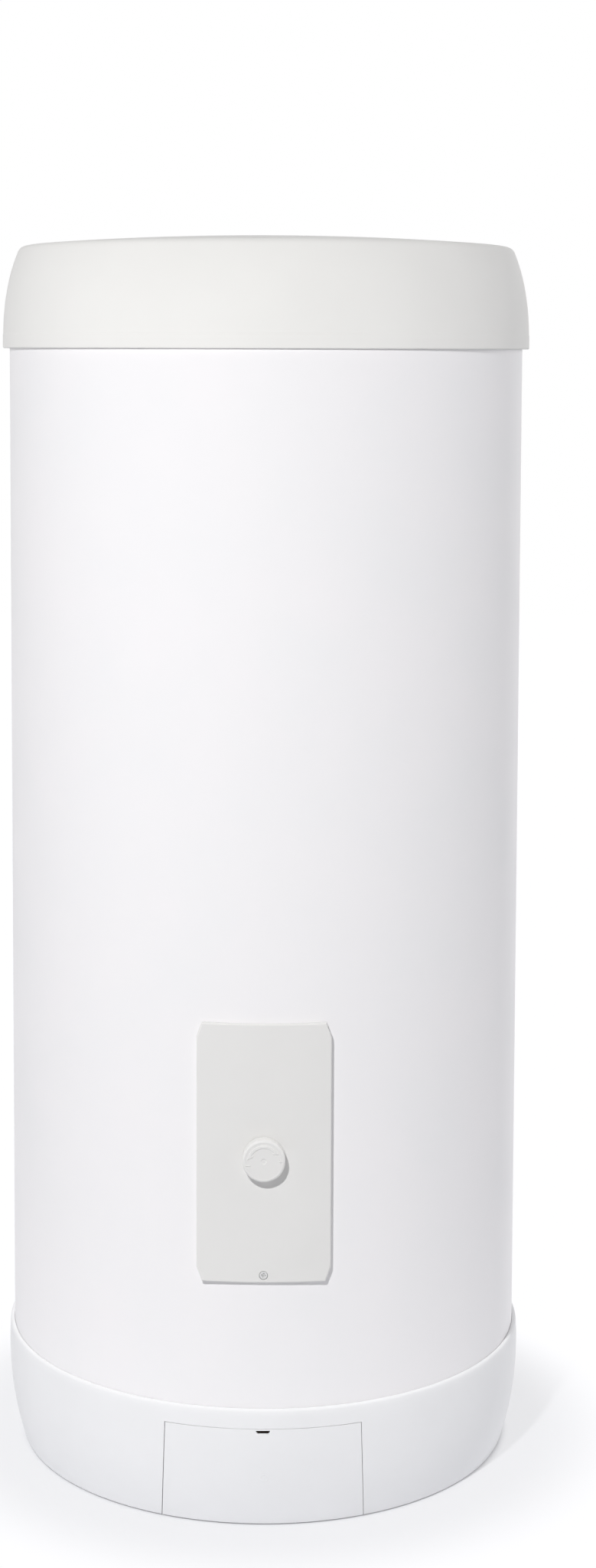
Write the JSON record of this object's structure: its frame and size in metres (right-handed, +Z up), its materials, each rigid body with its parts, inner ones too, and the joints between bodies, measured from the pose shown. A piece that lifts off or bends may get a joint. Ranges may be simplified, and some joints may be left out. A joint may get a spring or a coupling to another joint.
{
  "type": "tank water heater",
  "caption": "Floor-standing cylindrical electric water heater: insulated steel tank in a lacquered jacket, with lid, skirt, service cover, thermostat knob, base valves and screw feet.",
  "frame": {"origin": "on the floor under the tank's axis, at the bottom centre of the heater's box", "axes": "+Z up, -Y towards the user (service cover, knob and base hatch), +X to the right as seen from the front"},
  "size_m": [0.579, 0.5966, 1.3393],
  "materials": {
    "moulding": "satin",
    "skirt_moulding": "satin",
    "cover_moulding": "satin",
    "lacquer": "satin",
    "screw_steel": "satin",
    "galvanised": "satin",
    "stainless": "satin",
    "foam": "matte",
    "liner_plastic": "matte",
    "brass": "satin",
    "copper": "satin",
    "gasket_rubber": "matte",
    "black_plastic": "matte",
    "grey_plastic": "matte",
    "red_plastic": "satin",
    "blue_plastic": "satin",
    "brown_wire": "satin"
  },
  "bodies": {
    "heater": {"top_cover": "moulding", "outer_jacket": "lacquer", "base_skirt": "skirt_moulding", "base_pan": "galvanised", "support_leg_1": "galvanised", "support_leg_2": "galvanised", "support_leg_3": "galvanised", "foot_locknut_1": "screw_steel", "foot_locknut_2": "screw_steel", "foot_locknut_3": "screw_steel", "skirt_screw_1": "screw_steel", "skirt_screw_2": "screw_steel", "skirt_screw_3": "screw_steel", "tank_shell": "stainless", "tank_top_dome": "stainless", "tank_bottom_dome": "stainless", "body_insulation": "foam", "top_insulation": "foam", "element_liner": "liner_plastic", "element_boss": "stainless", "element_gasket": "gasket_rubber", "heating_element": "brass", "sensor_pocket": "stainless", "capillary_sensor": "copper", "thermostat": "black_plastic", "terminal_block": "grey_plastic", "wire_live": "brown_wire", "wire_neutral": "blue_plastic", "wire_heater_left": "brown_wire", "wire_heater_right": "blue_plastic", "cable_conduit": "grey_plastic", "cable_gland": "black_plastic", "safety_valve": "brass", "mixing_valve": "brass", "cold_inlet_pipe": "stainless", "hot_outlet_pipe": "stainless", "link_pipe": "copper", "cold_supply_pipe": "copper", "mixed_water_pipe": "copper", "overflow_pipe": "copper", "nut_cold_riser": "brass", "nut_hot_riser": "brass", "nut_link_cold": "brass", "nut_link_hot": "brass", "nut_cold_supply": "brass", "nut_mixed_water": "brass"},
    "cover": {"service_cover": "cover_moulding"},
    "knob": {"thermostat_knob": "cover_moulding"},
    "screw": {"cover_screw": "screw_steel"},
    "spindle": {"thermostat_spindle": "screw_steel"},
    "hatch": {"base_hatch": "skirt_moulding"},
    "reset": {"reset_button": "red_plastic"},
    "mixer_knob": {"mixing_valve_knob": "red_plastic"},
    "relief_knob": {"safety_valve_knob": "blue_plastic"},
    "foot_1": {"foot_pad_1": "black_plastic"},
    "foot_2": {"foot_pad_2": "black_plastic"},
    "foot_3": {"foot_pad_3": "black_plastic"},
    "stud_1": {"foot_stud_1": "screw_steel"},
    "stud_2": {"foot_stud_2": "screw_steel"},
    "stud_3": {"foot_stud_3": "screw_steel"}
  },
  "joints": [
    {"name": "cover_off", "type": "slide", "parent": "heater", "child": "cover", "axis": [0, -1, 0], "range_m": [0, 0.12]},
    {"name": "screw_out", "type": "slide", "parent": "cover", "child": "screw", "axis": [0, -1, 0], "range_m": [0, 0.014]},
    {"name": "knob_turn", "type": "hinge", "parent": "cover", "child": "knob", "pos_m": [0, -0.294, 0.3956], "axis": [0, 1, 0], "range_deg": [-135, 135]},
    {"name": "spindle_turn", "type": "hinge", "parent": "heater", "child": "spindle", "pos_m": [0, -0.272, 0.3956], "axis": [0, 1, 0], "range_deg": [-135, 135]},
    {"name": "reset_press", "type": "slide", "parent": "heater", "child": "reset", "axis": [0, 1, 0], "range_m": [0, 0.002], "stiffness_N_per_m": 800, "springref_m": -0.001},
    {"name": "hatch_off", "type": "slide", "parent": "heater", "child": "hatch", "axis": [0, -1, 0], "range_m": [0, 0.1]},
    {"name": "mixer_turn", "type": "hinge", "parent": "heater", "child": "mixer_knob", "pos_m": [0.052, -0.227, 0.062], "axis": [0, 1, 0], "range_deg": [0, 270]},
    {"name": "relief_turn", "type": "hinge", "parent": "heater", "child": "relief_knob", "pos_m": [-0.052, -0.224, 0.062], "axis": [0, 1, 0], "range_deg": [0, 90]},
    {"name": "foot_1_level", "type": "slide", "parent": "heater", "child": "foot_1", "axis": [0, 0, -1], "range_m": [0, 0.015]},
    {"name": "foot_2_level", "type": "slide", "parent": "heater", "child": "foot_2", "axis": [0, 0, -1], "range_m": [0, 0.015]},
    {"name": "foot_3_level", "type": "slide", "parent": "heater", "child": "foot_3", "axis": [0, 0, -1], "range_m": [0, 0.015]},
    {"name": "stud_1_turn", "type": "hinge", "parent": "foot_1", "child": "stud_1", "pos_m": [0, 0.215, 0.03], "axis": [0, 0, -1], "range_deg": [0, 3600]},
    {"name": "stud_2_turn", "type": "hinge", "parent": "foot_2", "child": "stud_2", "pos_m": [-0.18619, -0.1075, 0.03], "axis": [0, 0, -1], "range_deg": [0, 3600]},
    {"name": "stud_3_turn", "type": "hinge", "parent": "foot_3", "child": "stud_3", "pos_m": [0.18619, -0.1075, 0.03], "axis": [0, 0, -1], "range_deg": [0, 3600]}
  ],
  "couplings": [
    {"joint": "spindle_turn", "follows": "knob_turn", "ratio": 1},
    {"joint": "stud_1_turn", "follows": "foot_1_level", "rad_per_m": 4188.8},
    {"joint": "stud_2_turn", "follows": "foot_2_level", "rad_per_m": 4188.8},
    {"joint": "stud_3_turn", "follows": "foot_3_level", "rad_per_m": 4188.8}
  ]
}
